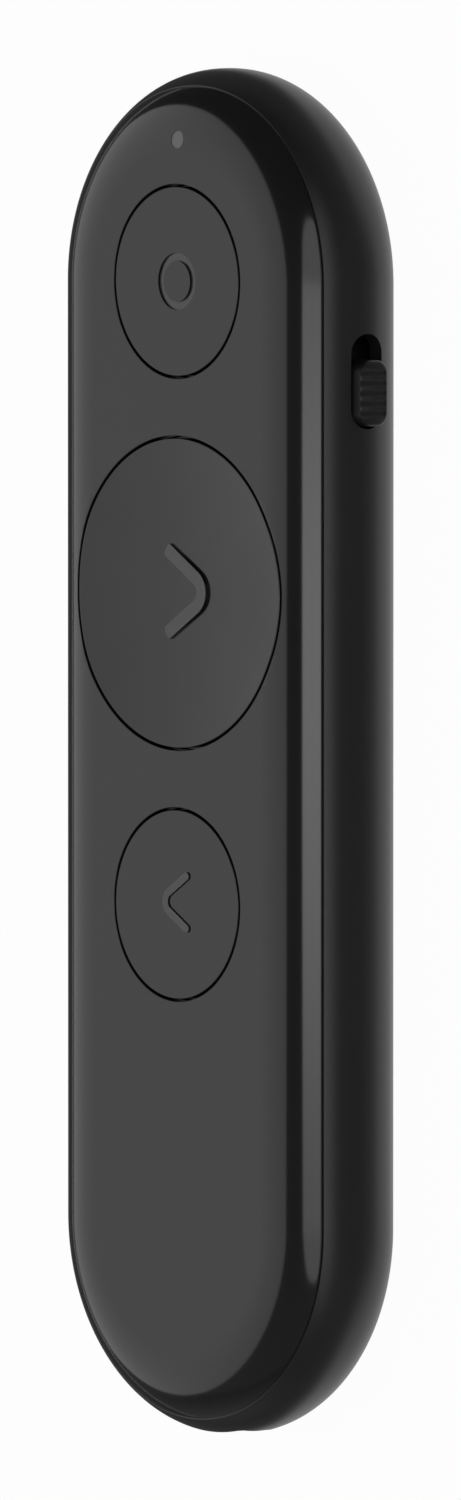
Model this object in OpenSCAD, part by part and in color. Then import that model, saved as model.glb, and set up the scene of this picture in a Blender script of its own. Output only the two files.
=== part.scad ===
// Wireless presentation clicker, lying on its flat back.
// +Z points out of the keys, +Y to the pointer end, +X to the side with the power switch.
// The origin is the middle of the flat back. All sizes are in millimetres.

/* [Body] */
// Overall length of the body
body_l = 120; // [110:0.5:135]
// Overall width of the body, at its widest line
body_w = 37.5; // [36.5:0.5:42]
// Thickness from the flat back to the flat front
body_h = 13; // [12.8:0.1:15]
// Width of the flat part of the front
crown_flat_w = 22.4; // [20:0.2:24]
// Width of the flat part of the back
back_flat_w = 16.4; // [14:0.2:18]
// Distance of the widest line below the front face
belly_drop = 6.2; // [5.8:0.1:6.6]
// Fullness of the front shoulder: 2 is an ellipse, more is squarer
shoulder_fullness = 2.26; // [2.1:0.02:2.6]
// Fullness of the back edge
heel_fullness = 2.24; // [2.1:0.02:2.6]
// Wall thickness of both mouldings
wall = 1.5; // [1.2:0.05:1.6]

/* [Seam] */
// Depth of the seam below the front face
seam_depth = 2.08; // [1.9:0.02:2.3]
// Visible gap between the two mouldings
seam_gap = 0.12; // [0.05:0.01:0.25]
// Height of the cover's locating lip below the seam
lip_h = 1.3; // [1:0.05:1.4]
// Thickness of the locating lip
lip_t = 0.8; // [0.6:0.05:0.9]
// Clearance round the locating lip
lip_gap = 0.1; // [0.05:0.01:0.2]
// Length of each snap tab on the lip
snap_l = 7; // [4:0.5:9]
// How far a snap tab stands out of the lip
snap_out = 0.3; // [0.15:0.05:0.35]

/* [Keys] */
// Diameter of the pointer key and of the back key
small_key_d = 16.54; // [14:0.1:17]
// Diameter of the dished next key
next_key_d = 27.1; // [24:0.1:27.3]
// Distance from one key's centre to the next
key_pitch = 27.3; // [26.8:0.1:29]
// Distance of the pointer key's centre from the pointer end
pointer_inset = 18.6; // [17.6:0.1:20]
// Gap between a key and its opening
key_gap = 0.25; // [0.15:0.01:0.35]
// How far a key travels
key_travel = 0.4; // [0.2:0.05:0.45]
// Depth of the dish in the next key, below its rim
dish_depth = 0.88; // [0.5:0.02:1]
// How far the next key's rim lies below the flat front
dish_rim_drop = 0.18; // [0.1:0.02:0.3]
// How far a key's retaining flange stands out
key_flange_w = 0.75; // [0.5:0.05:0.9]
// Thickness of a key's retaining flange
key_flange_t = 0.6; // [0.4:0.05:0.7]
// Height of the guide collar inside the cover
collar_h = 0.5; // [0.3:0.05:0.6]
// Wall of the guide collar
collar_t = 0.8; // [0.6:0.05:1]
// Clearance between a flange and the collar that stops it
flange_gap = 0.05; // [0.03:0.01:0.1]
// Thickness of a key's skirt
skirt_t = 1; // [0.8:0.1:1.4]
// Diameter of the post that works a key's switch
post_d = 4; // [3:0.1:5]
// Thickness of the ribs under a key
rib_t = 0.8; // [0.6:0.1:1.2]

/* [Power switch] */
// Distance of the slot's middle from the pointer end
slot_inset = 26.9; // [26:0.1:29]
// Length of the slot
slot_l = 8.3; // [7.8:0.1:8.6]
// Width of the slot
slot_w = 3.6; // [3.2:0.1:3.8]
// Clearance between the knob and the slot
knob_gap = 0.15; // [0.1:0.01:0.25]
// How far the knob slides
knob_travel = 2; // [1.2:0.1:2.2]
// How far the knob stands out of the body
knob_out = 0.95; // [0.6:0.05:1.2]
// Number of grip grooves across the knob
groove_count = 5; // [3:1:5]
// Spacing of the grip grooves
groove_pitch = 0.88; // [0.7:0.02:0.92]

/* [Charging port] */
// Width of the port's opening in the housing
port_w = 9.4; // [9.2:0.1:9.8]
// Height of the port's opening in the housing
port_h = 3.5; // [3.4:0.05:3.8]
// Width of the socket's metal shell
usb_w = 8.94; // [8.9:0.01:9]
// Height of the socket's metal shell
usb_h = 3.2; // [3.1:0.01:3.26]
// Length of the socket's metal shell
usb_l = 7.35; // [6.5:0.05:8]
// Sheet thickness of the socket's shell
usb_t = 0.3; // [0.2:0.05:0.35]

/* [Pointer light] */
// Diameter of the pointer's barrel
barrel_d = 5; // [4.5:0.1:5.6]
// Length of the pointer's barrel
barrel_l = 11.8; // [9:0.1:12]
// Diameter of the window at the body's end
window_d = 2.4; // [2:0.1:2.8]
// Diameter of the status light on the front
light_d = 1.55; // [1:0.05:2]
// Distance of the status light from the pointer end
light_inset = 6.2; // [6:0.1:7.5]

/* [Board and battery] */
// Thickness of the circuit board
board_t = 0.8; // [0.6:0.1:0.9]
// Distance of the board's top below the cover's underside
board_drop = 2.1; // [2.05:0.05:2.3]
// Distance of the board's edge from the body's side
board_margin = 3.9; // [3.85:0.05:5]
// Distance between the board screws, across the body
screw_span = 16; // [15:0.5:18]
// Diameter of a board screw
screw_d = 1.2; // [1:0.1:1.4]
// Length of the battery
cell_l = 42; // [34:1:43]
// Width of the battery
cell_w = 20; // [16:0.5:21]
// Thickness of the battery
cell_t = 4; // [3:0.1:4.2]
// Distance of the battery from the port end
cell_inset = 12.5; // [12.5:0.5:14]

/* [Hidden] */
$fn = 64;
eps = 0.01;

// Colours
satin_black = [0.16, 0.16, 0.165];
key_black = [0.18, 0.18, 0.185];
matte_black = [0.10, 0.10, 0.105];
board_green = [0.05, 0.23, 0.13];
steel = [0.72, 0.73, 0.75];
brass = [0.78, 0.62, 0.33];
black_resin = [0.07, 0.07, 0.08];
nylon = [0.92, 0.9, 0.82];
wire_red = [0.7, 0.05, 0.05];
wire_black = [0.05, 0.05, 0.05];

// Body outline
radius = body_w / 2;
spine = body_l - body_w;
seam_z = body_h - seam_depth;
belly_z = body_h - belly_drop;
shoulder_w = radius - crown_flat_w / 2;
heel_w = radius - back_flat_w / 2;
arc_steps = 16;
under_z = body_h - wall;

// Locating lip
lip_inset = 3.05;
lip_out = radius - lip_inset;
lip_z = seam_z - lip_h;
lip_root = 0.2;
rim_step = lip_out + 0.9;
snap_h = 0.4;
snap_gap = 0.05;
snap_count = 3;
snap_pitch = spine / snap_count;

// Keys
pointer_y = body_l / 2 - pointer_inset;
next_key_y = pointer_y - key_pitch;
back_y = next_key_y - key_pitch;
collar_z = under_z - collar_h;
flange_z = collar_z - flange_gap;
key_bevel = 0.12;
small_top_t = 1.2;
dish_top_t = 0.8;
rim_z = body_h - dish_rim_drop;
dish_z = rim_z - dish_depth;
dish_r = (pow(next_key_d / 2, 2) + pow(dish_depth, 2)) / (2 * dish_depth);
rib_rise = 0.25;
rib_root = 0.3;
well_gap = 0.4;
collar_root = 0.3;

// Circuit board and key switches
board_z = under_z - board_drop;
board_under_z = board_z - board_t;
board_w = body_w - 2 * board_margin;
port_z = board_under_z - usb_h / 2;
switch_w = 5.2;
switch_h = 0.9;
switch_floor = 0.1;
switch_lid = 0.2;
switch_well_d = 4;
plunger_d = 2.7;
plunger_gap = 0.1;
plunger_flange_d = 3.4;
plunger_flange_t = 0.13;
plunger_out = 0.45;
dome_gap = 0.03;
dome_t = 0.06;
dome_d = 3.8;
plunger_z = board_z + switch_h - switch_lid - plunger_flange_t - dome_gap;
post_z = board_z + switch_h + plunger_out;
led_size = [1.6, 0.8, 0.6];
led_gap = 0.1;
light_y = body_l / 2 - light_inset;

// Radio and chips
shield_can = [13, 11, 1.7];
shield_can_ahead = 8;
shield_can_y = next_key_y + shield_can_ahead;
can_t = 0.2;
radio_size = [6, 6, 0.9];
chip_t = 0.8;
// Chips as [x, distance from the port end or from the next key, width, length]
charger_chips = [[-5, 14, 3, 3], [5.5, 14, 2.5, 3]];
logic_chips = [[-9, -7.1, 4, 4], [10, -6.1, 3.2, 2.5], [-10, 12.9, 2.5, 2]];

// Board screws
pointer_screw = 10.8;
next_screw = 16.4;
port_screw = 20;
screw_ys = [pointer_y - pointer_screw, next_key_y - next_screw, port_screw - body_l / 2];
boss_d = 3.8;
pilot_gap = 0.03;
screw_head_d = 2.6;
screw_head_h = 0.8;
screw_bite = 1.9;
board_hole_gap = 0.2;
boss_root = 0.2;
pilot_over = 0.3;
screw_slot = [1.5, 0.3, 0.4];

// Light pipe
pipe_gap = 0.02;
pipe_flange_d = 3;
pipe_flange_t = 0.6;
pipe_inset = 0.03;
pipe_foot_z = board_z + led_size[2] + led_gap;

// Power switch
knob_w = slot_w - 2 * knob_gap;
knob_l = slot_l - 2 * knob_gap - knob_travel;
slot_y = body_l / 2 - slot_inset;
knob_y = slot_y - knob_travel / 2;
knob_bevel = 0.35;
shield_t = 0.7;
shield_inset = 3.15;
shield_x = radius - shield_inset;
shield_side = 0.35;
shield_w = slot_w + 2 * shield_side;
shield_l = slot_l + knob_travel + 2 * shield_side;
fork_l = 1;
fork_w = 3.2;
fork_h = 2.4;
lever_w = 1.2;
lever_gap = 0.1;
groove_r = 0.5;
groove_depth = 0.22;
slider_w = 3;
slider_l = 8.6;
slider_h = 2.9;
slider_gap = 0.4;
slider_x = shield_x - fork_l - slider_gap;
lever_in = 1.6;

// Charging socket
end_cut = 5;
usb_setback = 0.8;
tongue_w = 6.7;
tongue_t = 0.7;
tongue_back = 1.4;
usb_block = 1.6;
usb_y = -body_l / 2 + usb_setback;

// Battery and its leads
cell_y = -body_l / 2 + cell_inset + cell_l / 2;
tape_t = 0.15;
tape_side = 2.5;
tape_end = 4;
cell_z = wall + tape_t;
cell_edge = 1.4;
cell_board_l = 0.8;
cell_board_side = 1.5;
cell_board_edge = 0.6;
lead_d = 0.9;
lead_span = 1.3;
lead_bend = 1.2;
lead_end = 1;
lead_z = cell_z + 1.3;
plug_w = 4;
plug_h = 1.8;
plug_l = 4.6;
plug_gap = 0.05;
socket_l = 4;
socket_wall = 0.3;
socket_back = 0.8;
plug_z = board_under_z - socket_wall - plug_gap - plug_h / 2;
lead_y = cell_y + cell_l / 2 + cell_board_l;
plug_y = lead_y + 2 * lead_bend + 2 * lead_end;
rail_t = 0.8;
rail_h = 2.6;
rail_gap = 0.3;

// Pointer light
barrel_gap = 0.1;
barrel_z = (wall + board_under_z) / 2;
barrel_inset = 7.2;
barrel_front = body_l / 2 - barrel_inset;
window_inset = 1.3;
window_t = 1.2;
barrel_wall = 0.4;
nose_d = 2.2;
nose_t = 0.8;
lens_gap = 0.02;
lens_t = 1.5;
cradle_t = 1.2;
cradle_side = 1.5;
cradle_w = barrel_d + 2 * cradle_side;
cradle_inset = 2.8;
cradle_span = 7;
driver_l = 7;
driver_w = 3.9;
driver_t = 0.8;
driver_in = 0.6;
pad_size = [3, 5];
pad_inset = 8;
laser_lead_d = 0.8;
laser_lead_x = 1;
laser_lead_end = 0.8;
laser_lead_bend = 1.5;
driver_y = barrel_front - barrel_l + driver_in;

// Point on a quarter of a superellipse with half axes of 1: share 0 is on +y, share 1 on +x.
function super_point(share, fullness) =
    [pow(sin(90 * share), 2 / fullness), pow(cos(90 * share), 2 / fullness)];

// Half of the body's cross-section, as [distance from the spine, height], drawn in by inset.
function half_section(inset) = concat(
    [[0, body_h - inset]],
    [for (i = [0 : arc_steps]) let (p = super_point(i / arc_steps, shoulder_fullness))
        [crown_flat_w / 2 + p[0] * (shoulder_w - inset),
         belly_z + p[1] * (body_h - belly_z - inset)]],
    [for (i = [arc_steps - 1 : -1 : 0]) let (p = super_point(i / arc_steps, heel_fullness))
        [back_flat_w / 2 + p[0] * (heel_w - inset), belly_z - p[1] * (belly_z - inset)]],
    [[0, inset]]);

// Height of the cover's underside at a distance from the spine.
function cover_under(r) = belly_z + (under_z - belly_z)
    * pow(1 - pow((r - crown_flat_w / 2) / (shoulder_w - wall), shoulder_fullness), 1 / shoulder_fullness);

// Carries a half profile along a straight spine and round both of its ends.
module stadium_sweep(length) {
    rotate([90, 0, 0])
        linear_extrude(length, center = true) {
            children();
            mirror([1, 0]) children();
        }
    for (turn = [0, 180])
        rotate([0, 0, turn])
            translate([0, length / 2, 0])
                rotate_extrude(angle = 180) children();
}

// Upright stadium prism, long along Y.
module stadium_prism(length, width, height) {
    stadium_sweep(length - width) square([width / 2, height]);
}

// Turns an upright shape so that its up points along +X.
module facing_side(x, y, z) {
    translate([x, y, z]) rotate([0, 90, 0]) children();
}

module body_section(inset) {
    polygon(half_section(inset));
}

// Solid of the body drawn in by inset, to trim inner ribs with.
module body_core(inset) {
    stadium_sweep(spine) body_section(inset);
}

module cover_section() {
    difference() {
        intersection() {
            body_section(0);
            translate([0, seam_z]) square([radius, body_h]);
        }
        body_section(wall);
    }
    translate([lip_out - lip_t, lip_z]) square([lip_t, lip_h + lip_root]);
}

module housing_section() {
    difference() {
        intersection() {
            body_section(0);
            union() {
                square([radius, seam_z - seam_gap]);
                square([rim_step, seam_z]);
            }
        }
        body_section(wall);
        translate([0, lip_z]) square([lip_out + lip_gap, body_h]);
        translate([0, lip_z - snap_gap]) square([lip_out + snap_out + snap_gap, snap_h + 2 * snap_gap]);
    }
}

// Snap tabs: short wedges low on the outer side of the lip.
module snap_tabs() {
    for (side = [0, 180], i = [0 : snap_count - 1])
        rotate([0, 0, side])
            translate([lip_out, (i - (snap_count - 1) / 2) * snap_pitch, lip_z])
                rotate([90, 0, 0])
                    linear_extrude(snap_l, center = true)
                        polygon([[-lip_t / 2, 0], [0, 0], [snap_out, snap_h / 2],
                                 [snap_out, snap_h], [-lip_t / 2, snap_h]]);
}

module key_opening(y, d) {
    translate([0, y, collar_z - eps]) cylinder(d = d + 2 * key_gap, h = body_h);
}

module key_collar(y, d) {
    translate([0, y, collar_z])
        cylinder(d = d + 2 * key_gap + 2 * collar_t, h = collar_h + collar_root);
}

// Room for a key's flange below its collar.
module key_well(y, d) {
    translate([0, y, 0]) cylinder(d = d + 2 * key_flange_w + 2 * well_gap, h = collar_z);
}

module board_bosses() {
    for (x = [-1, 1] * screw_span / 2, y = screw_ys)
        translate([x, y, board_z]) cylinder(d = boss_d, h = board_drop + boss_root);
}

module board_pilots() {
    for (x = [-1, 1] * screw_span / 2, y = screw_ys)
        translate([x, y, board_z - eps])
            cylinder(d = screw_d + 2 * pilot_gap, h = screw_bite + pilot_over);
}

module front_cover() {
    color(satin_black)
        difference() {
            union() {
                stadium_sweep(spine) cover_section();
                snap_tabs();
                intersection() {
                    union() {
                        key_collar(pointer_y, small_key_d);
                        key_collar(next_key_y, next_key_d);
                        key_collar(back_y, small_key_d);
                    }
                    body_core(wall / 2);
                }
                board_bosses();
            }
            key_opening(pointer_y, small_key_d);
            key_opening(next_key_y, next_key_d);
            key_opening(back_y, small_key_d);
            key_well(pointer_y, small_key_d);
            key_well(next_key_y, next_key_d);
            key_well(back_y, small_key_d);
            board_pilots();
            translate([0, light_y, under_z - 1])
                cylinder(d = light_d + 2 * pipe_gap, h = body_h);
        }
}

// Ribs on the housing's floor that carry the pointer's barrel.
module barrel_cradles() {
    difference() {
        intersection() {
            for (y = [cradle_inset, cradle_inset + cradle_span])
                translate([-cradle_w / 2, barrel_front - y - cradle_t / 2, 0])
                    cube([cradle_w, cradle_t, barrel_z]);
            body_core(wall / 2);
        }
        translate([0, body_l / 2, barrel_z])
            rotate([90, 0, 0]) cylinder(d = barrel_d + 2 * barrel_gap, h = body_l / 2);
    }
}

// Rails that keep the battery in place.
module battery_rails() {
    intersection() {
        for (side = [-1, 1])
            translate([side * (cell_w / 2 + rail_gap + rail_t / 2) - rail_t / 2,
                       cell_y - cell_l / 2 + tape_end, wall / 2])
                cube([rail_t, cell_l - 2 * tape_end, rail_h + wall / 2]);
        body_core(wall / 2);
    }
}

module rear_housing() {
    color(matte_black)
        difference() {
            union() {
                stadium_sweep(spine) housing_section();
                barrel_cradles();
                battery_rails();
            }
            facing_side(shield_x, slot_y, port_z) stadium_prism(slot_l, slot_w, radius);
            translate([0, -body_l / 2 - end_cut, port_z]) port_slab(port_w, port_h, 2 * end_cut);
            translate([0, body_l / 2 + end_cut, barrel_z])
                rotate([90, 0, 0]) cylinder(d = window_d + 2 * pipe_gap, h = 2 * end_cut);
        }
}

// Half profile of a key: a flanged skirt and a centre post under the top.
module key_profile(d, top_z, inner_z) {
    polygon([[0, top_z], [d / 2 - key_bevel, top_z], [d / 2, top_z - key_bevel],
             [d / 2, flange_z], [d / 2 + key_flange_w, flange_z],
             [d / 2 + key_flange_w, flange_z - key_flange_t],
             [d / 2 - skirt_t, flange_z - key_flange_t], [d / 2 - skirt_t, inner_z],
             [post_d / 2, inner_z], [post_d / 2, post_z], [0, post_z]]);
}

// Four ribs between a key's post and its skirt.
module key_ribs(d, inner_z) {
    for (turn = [45 : 90 : 315])
        rotate([0, 0, turn])
            translate([post_d / 2 - rib_root, -rib_t / 2, post_z + rib_rise])
                cube([(d - post_d) / 2 - skirt_t + 2 * rib_root, rib_t,
                      inner_z - post_z - rib_rise + key_bevel]);
}

module small_key(y) {
    color(key_black)
        translate([0, y, 0]) {
            rotate_extrude() key_profile(small_key_d, body_h, body_h - small_top_t);
            key_ribs(small_key_d, body_h - small_top_t);
        }
}

module pointer_key() {
    small_key(pointer_y);
}

module back_key() {
    small_key(back_y);
}

module next_key() {
    color(key_black)
        translate([0, next_key_y, 0]) {
            rotate_extrude()
                difference() {
                    key_profile(next_key_d, rim_z + key_bevel, dish_z - dish_top_t);
                    translate([0, dish_z + dish_r]) circle(dish_r, $fn = 720);
                }
            key_ribs(next_key_d, dish_z - dish_top_t);
        }
}

// Snap dome, plunger and housing of one key switch.
module switch_dome(y) {
    dome_h = plunger_z - board_z - switch_floor - dome_gap;
    ball_r = (pow(dome_d / 2, 2) + pow(dome_h, 2)) / (2 * dome_h);
    color(steel)
        translate([0, y, board_z + switch_floor])
            intersection() {
                cylinder(d = dome_d, h = dome_h);
                translate([0, 0, dome_h - ball_r])
                    difference() {
                        sphere(ball_r);
                        sphere(ball_r - dome_t);
                    }
            }
}

module switch_plunger(y) {
    color(black_resin)
        translate([0, y, plunger_z]) {
            cylinder(d = plunger_flange_d, h = plunger_flange_t);
            cylinder(d = plunger_d, h = post_z - plunger_z);
        }
}

module switch_housing(y) {
    color(black_resin)
        translate([0, y, board_z])
            difference() {
                translate([-switch_w / 2, -switch_w / 2, 0]) cube([switch_w, switch_w, switch_h]);
                translate([0, 0, switch_floor])
                    cylinder(d = switch_well_d, h = switch_h - switch_lid - switch_floor);
                translate([0, 0, switch_floor])
                    cylinder(d = plunger_d + 2 * plunger_gap, h = switch_h);
            }
}

module status_light_pipe() {
    color([0.75, 0.75, 0.76])
        union() {
            intersection() {
                translate([0, light_y, pipe_foot_z]) cylinder(d = light_d, h = body_h - pipe_foot_z);
                body_core(pipe_inset);
            }
            translate([0, light_y, cover_under(light_y + pipe_flange_d / 2 - spine / 2) - pipe_flange_t])
                cylinder(d = pipe_flange_d, h = pipe_flange_t);
        }
}

module status_led() {
    color([0.9, 0.9, 0.8])
        translate([-led_size[0] / 2, light_y - led_size[1] / 2, board_z]) cube(led_size);
}

module main_board() {
    color(board_green)
        difference() {
            translate([0, 0, board_under_z])
                stadium_prism(spine + board_w, board_w, board_t);
            for (x = [-1, 1] * screw_span / 2, y = screw_ys)
                translate([x, y, board_under_z - board_t])
                    cylinder(d = screw_d + 2 * board_hole_gap, h = 3 * board_t);
        }
}

module board_screws() {
    color(steel)
        for (x = [-1, 1] * screw_span / 2, y = screw_ys)
            translate([x, y, board_under_z]) {
                cylinder(d = screw_d, h = board_t + screw_bite);
                difference() {
                    translate([0, 0, -screw_head_h]) cylinder(d = screw_head_d, h = screw_head_h);
                    for (turn = [0, 90])
                        rotate([0, 0, turn])
                            translate([-screw_slot[0] / 2, -screw_slot[1] / 2, -screw_head_h - eps])
                                cube(screw_slot);
                }
            }
}

module radio_chip() {
    color(black_resin)
        translate([-radio_size[0] / 2, shield_can_y - radio_size[1] / 2, board_under_z - radio_size[2]])
            cube(radio_size);
}

module radio_shield() {
    color(steel)
        translate([-shield_can[0] / 2, shield_can_y - shield_can[1] / 2, board_under_z - shield_can[2]])
            difference() {
                cube(shield_can);
                translate([can_t, can_t, can_t])
                    cube([shield_can[0] - 2 * can_t, shield_can[1] - 2 * can_t, shield_can[2]]);
            }
}

// Charger, memory, regulator and crystal, on the board's lower side.
module chip_row(chips, y) {
    for (c = chips)
        translate([c[0] - c[2] / 2, y + c[1] - c[3] / 2, board_under_z - chip_t])
            cube([c[2], c[3], chip_t]);
}

module board_chips() {
    color(black_resin) {
        chip_row(charger_chips, -body_l / 2);
        chip_row(logic_chips, next_key_y);
    }
}

module port_slab(width, height, length) {
    rotate([-90, 0, 0]) rotate([0, 0, 90]) stadium_prism(width, height, length);
}

module usb_shell() {
    color(steel)
        translate([0, usb_y, port_z])
            difference() {
                port_slab(usb_w, usb_h, usb_l);
                translate([0, -eps, 0])
                    port_slab(usb_w - 2 * usb_t, usb_h - 2 * usb_t, usb_l + 2 * eps);
            }
}

module usb_tongue() {
    color(black_resin)
        translate([0, usb_y, port_z]) {
            translate([-tongue_w / 2, tongue_back, -tongue_t / 2])
                cube([tongue_w, usb_l - tongue_back, tongue_t]);
            translate([0, usb_l - usb_block, 0])
                port_slab(usb_w - 2 * usb_t, usb_h - 2 * usb_t, usb_block);
        }
}

// Knob: ribbed cap in the slot, dust shield behind the wall and a fork for the switch's lever.
module power_knob() {
    color(matte_black) {
        difference() {
            facing_side(shield_x, knob_y, port_z)
                stadium_sweep(knob_l - knob_w)
                    polygon([[0, 0], [knob_w / 2, 0],
                             [knob_w / 2, radius + knob_out - shield_x - knob_bevel],
                             [knob_w / 2 - knob_bevel, radius + knob_out - shield_x],
                             [0, radius + knob_out - shield_x]]);
            for (i = [0 : groove_count - 1])
                translate([radius + knob_out + groove_r - groove_depth,
                           knob_y + (i - (groove_count - 1) / 2) * groove_pitch,
                           port_z - knob_w])
                    cylinder(r = groove_r, h = 2 * knob_w, $fn = 32);
        }
        translate([shield_x, knob_y - shield_l / 2, port_z - shield_w / 2])
            cube([shield_t, shield_l, shield_w]);
        difference() {
            translate([shield_x - fork_l, knob_y - fork_w / 2, port_z - fork_h / 2])
                cube([fork_l, fork_w, fork_h]);
            translate([shield_x - 2 * fork_l, knob_y - lever_w / 2 - lever_gap, port_z - fork_h])
                cube([2 * fork_l, lever_w + 2 * lever_gap, 2 * fork_h]);
        }
    }
}

module power_lever() {
    color([0.85, 0.85, 0.82])
        translate([slider_x - lever_in, knob_y - lever_w / 2, port_z - lever_w / 2])
            cube([shield_x - lever_gap - slider_x + lever_in, lever_w, lever_w]);
}

module power_switch_body() {
    color(steel)
        difference() {
            translate([slider_x - slider_w, slot_y - slider_l / 2, board_under_z - slider_h])
                cube([slider_w, slider_l, slider_h]);
            translate([slider_x - lever_in - lever_gap, knob_y - lever_w / 2 - lever_gap,
                       port_z - lever_w / 2 - lever_gap])
                cube([2 * lever_in, lever_w + knob_travel + 2 * lever_gap, lever_w + 2 * lever_gap]);
        }
}

// Pouch cell with rounded long edges.
module battery_cell() {
    color([0.75, 0.76, 0.78])
        translate([0, cell_y, cell_z])
            rotate([90, 0, 0])
                linear_extrude(cell_l, center = true) {
                    translate([-cell_w / 2 + cell_edge, 0]) square([cell_w - 2 * cell_edge, cell_t]);
                    translate([-cell_w / 2, cell_edge]) square([cell_w, cell_t - 2 * cell_edge]);
                    for (x = [-1, 1] * (cell_w / 2 - cell_edge), z = [cell_edge, cell_t - cell_edge])
                        translate([x, z]) circle(cell_edge);
                }
}

module battery_tape() {
    color([0.9, 0.9, 0.88])
        translate([-cell_w / 2 + tape_side, cell_y - cell_l / 2 + tape_end, wall])
            cube([cell_w - 2 * tape_side, cell_l - 2 * tape_end, tape_t]);
}

module battery_board() {
    color(board_green)
        translate([-cell_w / 2 + cell_board_side, cell_y + cell_l / 2, cell_z + cell_board_edge])
            cube([cell_w - 2 * cell_board_side, cell_board_l, cell_t - 2 * cell_board_edge]);
}

// Quarter bend of round wire, from +Y up to +Z, starting at the origin.
module wire_bend(d, bend) {
    translate([0, 0, bend])
        rotate([0, 90, 0])
            rotate_extrude(angle = 90) translate([bend, 0]) circle(d = d, $fn = 24);
}

// Two wires that leave the cell's board, climb to the main board and end in the plug.
module battery_leads() {
    climb = plug_z - lead_z - 2 * lead_bend;
    for (side = [-1, 1])
        color(side > 0 ? wire_red : wire_black)
            translate([side * lead_span / 2, lead_y, lead_z]) {
                rotate([-90, 0, 0]) cylinder(d = lead_d, h = lead_end, $fn = 24);
                translate([0, lead_end, 0]) wire_bend(lead_d, lead_bend);
                translate([0, lead_end + lead_bend, lead_bend])
                    cylinder(d = lead_d, h = climb, $fn = 24);
                translate([0, lead_end + 2 * lead_bend, 2 * lead_bend + climb]) {
                    rotate([180, 0, 0]) wire_bend(lead_d, lead_bend);
                    rotate([-90, 0, 0]) cylinder(d = lead_d, h = lead_end, $fn = 24);
                }
            }
}

module battery_plug() {
    color(nylon)
        translate([-plug_w / 2, plug_y, plug_z - plug_h / 2]) cube([plug_w, plug_l, plug_h]);
}

// Socket with its mouth towards the battery and its back behind the plug.
module battery_socket() {
    wall_gap = socket_wall + plug_gap;
    color(nylon)
        difference() {
            translate([-plug_w / 2 - wall_gap, plug_y + plug_l + socket_back - socket_l,
                       plug_z - plug_h / 2 - wall_gap])
                cube([plug_w + 2 * wall_gap, socket_l, plug_h + 2 * wall_gap]);
            translate([-plug_w / 2 - plug_gap, plug_y, plug_z - plug_h / 2 - plug_gap])
                cube([plug_w + 2 * plug_gap, plug_l + plug_gap, plug_h + 2 * plug_gap]);
        }
}

module laser_barrel() {
    color(brass)
        translate([0, barrel_front, barrel_z])
            rotate([90, 0, 0])
                difference() {
                    cylinder(d = barrel_d, h = barrel_l);
                    translate([0, 0, nose_t]) cylinder(d = barrel_d - 2 * barrel_wall, h = barrel_l);
                    translate([0, 0, -eps]) cylinder(d = nose_d, h = barrel_l);
                }
}

module laser_lens() {
    color([0.8, 0.85, 0.9])
        translate([0, barrel_front - nose_t, barrel_z])
            rotate([90, 0, 0]) cylinder(d = barrel_d - 2 * barrel_wall - 2 * lens_gap, h = lens_t);
}

module laser_board() {
    color(board_green)
        translate([-driver_w / 2, driver_y - driver_l, barrel_z - driver_t / 2])
            cube([driver_w, driver_l, driver_t]);
}

module laser_leads() {
    for (side = [-1, 1])
        color(side > 0 ? wire_red : wire_black)
            translate([side * laser_lead_x, driver_y - driver_l, barrel_z]) {
                rotate([90, 0, 0]) cylinder(d = laser_lead_d, h = laser_lead_end, $fn = 24);
                translate([0, -laser_lead_end, 0])
                    rotate([0, 0, 180]) wire_bend(laser_lead_d, laser_lead_bend);
                translate([0, -laser_lead_end - laser_lead_bend, laser_lead_bend])
                    cylinder(d = laser_lead_d, h = board_under_z - barrel_z - laser_lead_bend, $fn = 24);
            }
}

// Foam pad that presses the barrel into its cradles.
module laser_pad() {
    pad_z = barrel_z + barrel_d / 2;
    color([0.15, 0.15, 0.15])
        translate([-pad_size[0] / 2, barrel_front - pad_inset, pad_z])
            cube([pad_size[0], pad_size[1], board_under_z - pad_z]);
}

module laser_window() {
    color([0.25, 0.05, 0.05])
        translate([0, body_l / 2 - window_inset, barrel_z])
            rotate([90, 0, 0]) cylinder(d = window_d, h = window_t);
}

front_cover();
rear_housing();
pointer_key();
next_key();
back_key();
switch_plunger(pointer_y);  // pointer_plunger
switch_plunger(next_key_y);  // next_plunger
switch_plunger(back_y);  // back_plunger
switch_dome(pointer_y);  // pointer_dome
switch_dome(next_key_y);  // next_dome
switch_dome(back_y);  // back_dome
switch_housing(pointer_y);  // pointer_switch
switch_housing(next_key_y);  // next_switch
switch_housing(back_y);  // back_switch
status_light_pipe();
status_led();
main_board();
board_screws();
radio_chip();
radio_shield();
board_chips();
usb_shell();
usb_tongue();
power_knob();
power_lever();
power_switch_body();
battery_cell();
battery_tape();
battery_board();
battery_leads();
battery_plug();
battery_socket();
laser_barrel();
laser_lens();
laser_board();
laser_leads();
laser_pad();
laser_window();
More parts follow.
